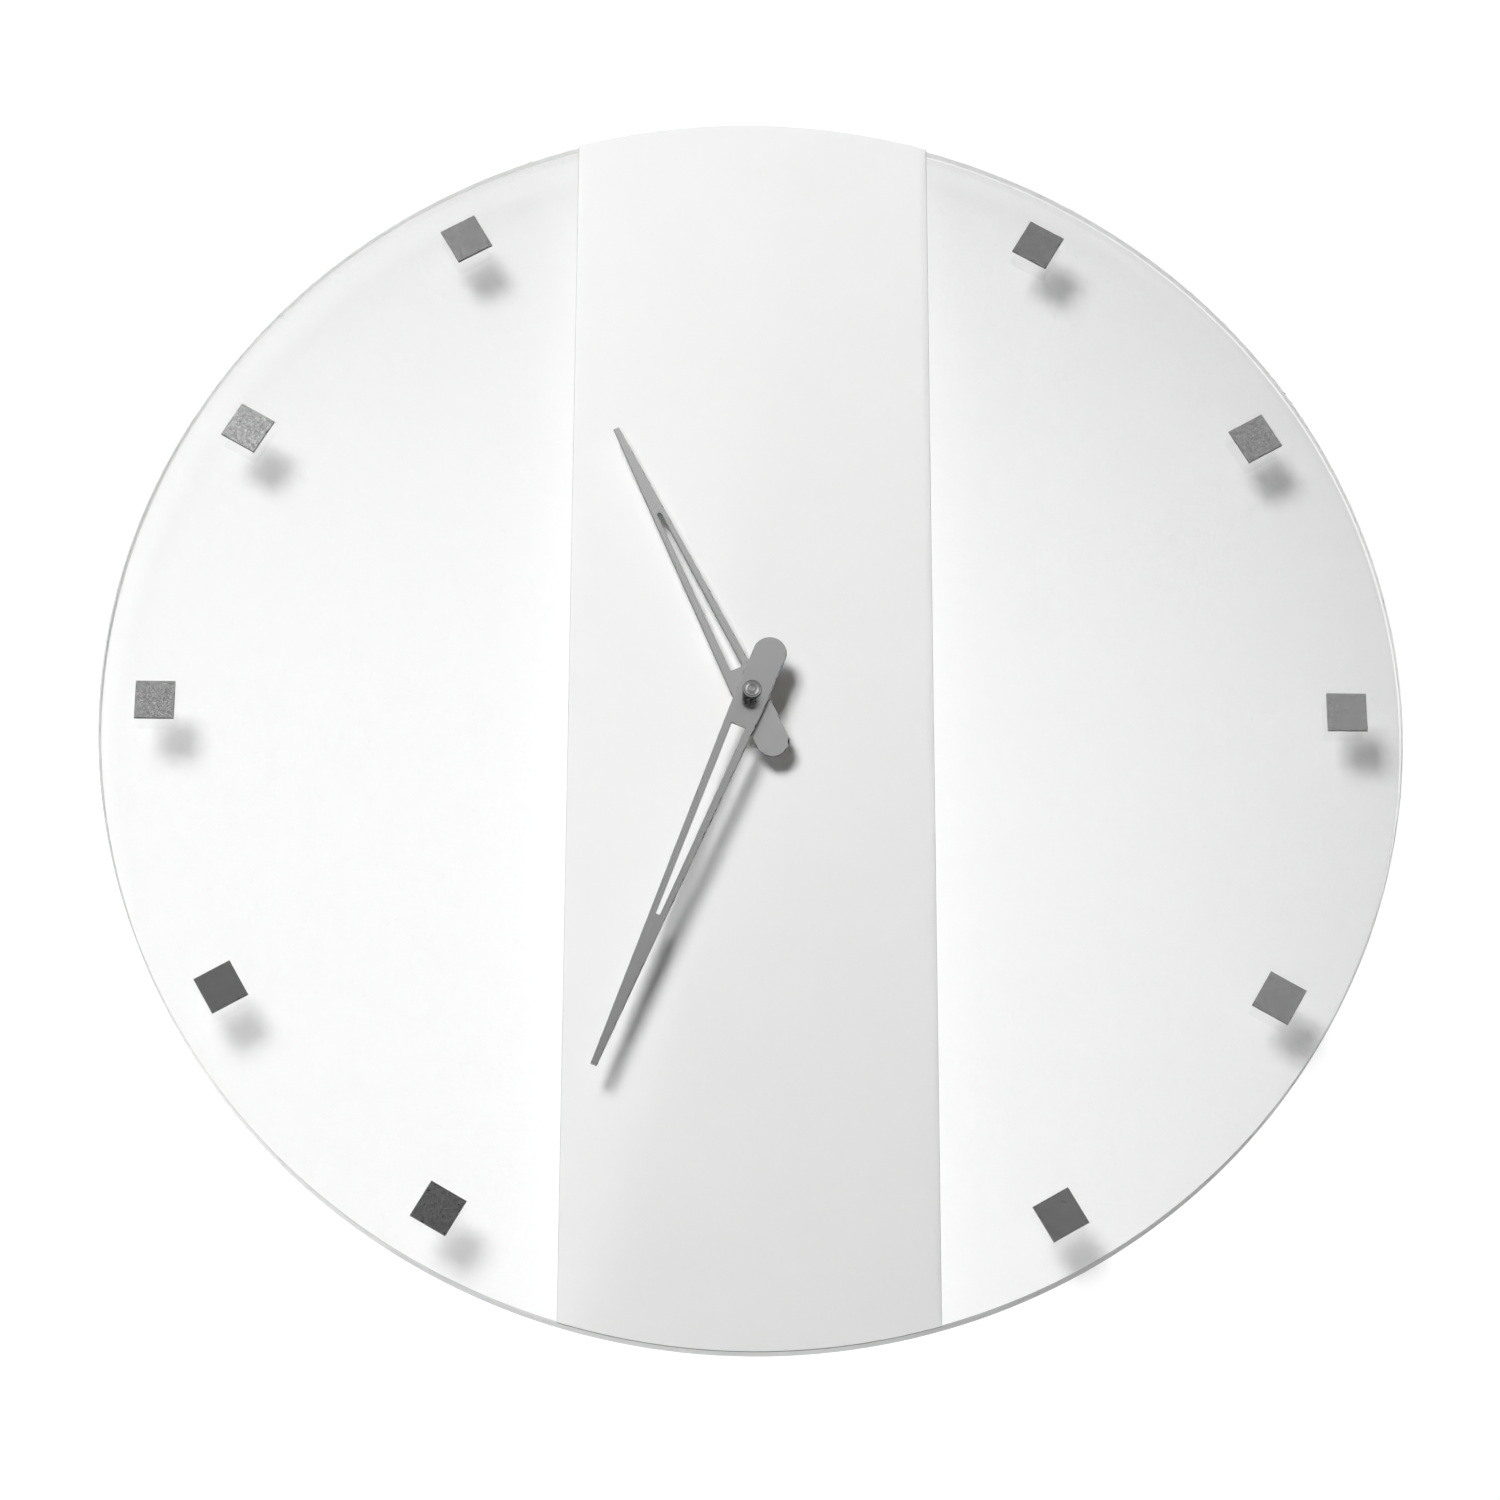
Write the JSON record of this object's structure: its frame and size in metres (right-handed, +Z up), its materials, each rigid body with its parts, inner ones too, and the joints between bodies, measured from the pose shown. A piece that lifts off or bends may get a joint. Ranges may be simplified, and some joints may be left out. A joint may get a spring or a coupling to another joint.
{
  "type": "wall clock",
  "caption": "Round clear glass wall clock with a matt white centre band, square metal hour markers and slotted tapered hands on a quartz movement.",
  "frame": {"origin": "on the clock's axis, in the plane of the wall that the rear bumpers rest on", "axes": "+Z up, the clock faces -Y, +Y points into the wall, +X to the right as seen from the front"},
  "size_m": [0.4999, 0.0375, 0.5],
  "materials": {
    "clear_glass": "clear float glass with a polished, arrised rim",
    "white_lacquer": "matt white powder coat",
    "satin_steel": "satin brushed, fine grain along the piece",
    "turned_steel": "turned, fine concentric marks on the face",
    "plated_steel": "bright zinc plate",
    "frame_paint": "satin pale grey powder coat",
    "natural_nylon": "translucent off-white, matt",
    "black_rubber": "moulded, matt",
    "case_plastic": "fine spark-eroded texture",
    "cover_plastic": "fine spark-eroded texture",
    "gear_plastic": "smooth acetal",
    "knob_plastic": "moulded, scalloped rim",
    "brass": "turned, bright",
    "ferrite": "sintered, dark grey",
    "silicon_iron": "punched sheet, bare",
    "copper_wire": "enamelled copper wire",
    "board_laminate": "green solder mask",
    "chip_resin": "black resin drop",
    "crystal_can": "drawn can, bright",
    "battery_wrap": "plain wrap without marks",
    "contact_plate": "nickel plate"
  },
  "bodies": {
    "clock": {"glass_disc": "clear_glass", "front_band": "white_lacquer", "band_studs": "plated_steel", "stud_sleeves": "natural_nylon", "frame_spacers": "natural_nylon", "frame_washers": "plated_steel", "frame_nuts": "plated_steel", "hour_marker_01": "satin_steel", "hour_marker_02": "satin_steel", "hour_marker_03": "satin_steel", "hour_marker_04": "satin_steel", "hour_marker_05": "satin_steel", "hour_marker_07": "satin_steel", "hour_marker_08": "satin_steel", "hour_marker_09": "satin_steel", "hour_marker_10": "satin_steel", "hour_marker_11": "satin_steel", "rubber_washer": "black_rubber", "face_washer": "brass", "centre_nut": "brass", "threaded_bush": "brass", "movement_case": "case_plastic", "movement_cover": "cover_plastic", "train_plate": "natural_nylon", "stator": "silicon_iron", "coil_core": "silicon_iron", "coil_bobbin": "natural_nylon", "coil_winding": "copper_wire", "circuit_board": "board_laminate", "clock_chip": "chip_resin", "quartz_crystal": "crystal_can", "contact_positive": "contact_plate", "contact_negative": "contact_plate", "rear_frame": "frame_paint", "wall_bumpers": "black_rubber"},
    "minute_work": {"minute_hand": "satin_steel", "minute_hand_bush": "brass", "centre_cap": "turned_steel", "minute_arbor": "gear_plastic"},
    "hour_work": {"hour_hand": "satin_steel", "hour_hand_bush": "brass", "hour_wheel": "gear_plastic"},
    "motion_work": {"motion_wheel": "gear_plastic", "setting_knob": "knob_plastic"},
    "rotor": {"rotor_pinion": "gear_plastic", "rotor_magnet": "ferrite"},
    "step_gear": {"step_wheel": "gear_plastic"},
    "second_gear": {"second_wheel": "gear_plastic"},
    "third_gear": {"third_wheel": "gear_plastic"},
    "centre_gear": {"centre_wheel": "gear_plastic"},
    "battery_cell": {"battery": "battery_wrap"}
  },
  "joints": [
    {"name": "minute_hand_turn", "type": "hinge", "parent": "clock", "child": "minute_work", "pos_m": [0, -0.031, 0], "axis": [0, 1, 0], "continuous": true},
    {"name": "hour_hand_turn", "type": "hinge", "parent": "clock", "child": "hour_work", "pos_m": [0, -0.027, 0], "axis": [0, 1, 0], "continuous": true},
    {"name": "setting_knob_turn", "type": "hinge", "parent": "clock", "child": "motion_work", "pos_m": [0.008, -0.002, 0], "axis": [0, 1, 0], "continuous": true},
    {"name": "rotor_turn", "type": "hinge", "parent": "clock", "child": "rotor", "pos_m": [0.01066, -0.009, 0.01201], "axis": [0, 1, 0], "continuous": true},
    {"name": "step_wheel_turn", "type": "hinge", "parent": "clock", "child": "step_gear", "pos_m": [0.00468, -0.009, 0.01254], "axis": [0, 1, 0], "continuous": true},
    {"name": "second_wheel_turn", "type": "hinge", "parent": "clock", "child": "second_gear", "pos_m": [-0.00073, -0.009, 0.01109], "axis": [0, 1, 0], "continuous": true},
    {"name": "third_wheel_turn", "type": "hinge", "parent": "clock", "child": "third_gear", "pos_m": [-0.00463, -0.009, 0.00552], "axis": [0, 1, 0], "continuous": true},
    {"name": "centre_wheel_turn", "type": "hinge", "parent": "clock", "child": "centre_gear", "pos_m": [0, -0.009, 0], "axis": [0, 1, 0], "continuous": true},
    {"name": "battery_lift_out", "type": "slide", "parent": "clock", "child": "battery_cell", "axis": [0, 1, 0], "range_m": [0, 0.016]}
  ],
  "couplings": [
    {"joint": "hour_hand_turn", "follows": "minute_hand_turn", "ratio": 0.083333},
    {"joint": "setting_knob_turn", "follows": "minute_hand_turn", "ratio": -0.33333},
    {"joint": "step_wheel_turn", "follows": "rotor_turn", "ratio": -0.2},
    {"joint": "second_wheel_turn", "follows": "rotor_turn", "ratio": 0.033333},
    {"joint": "third_wheel_turn", "follows": "rotor_turn", "ratio": -0.0044444},
    {"joint": "centre_wheel_turn", "follows": "rotor_turn", "ratio": 0.00055556}
  ]
}
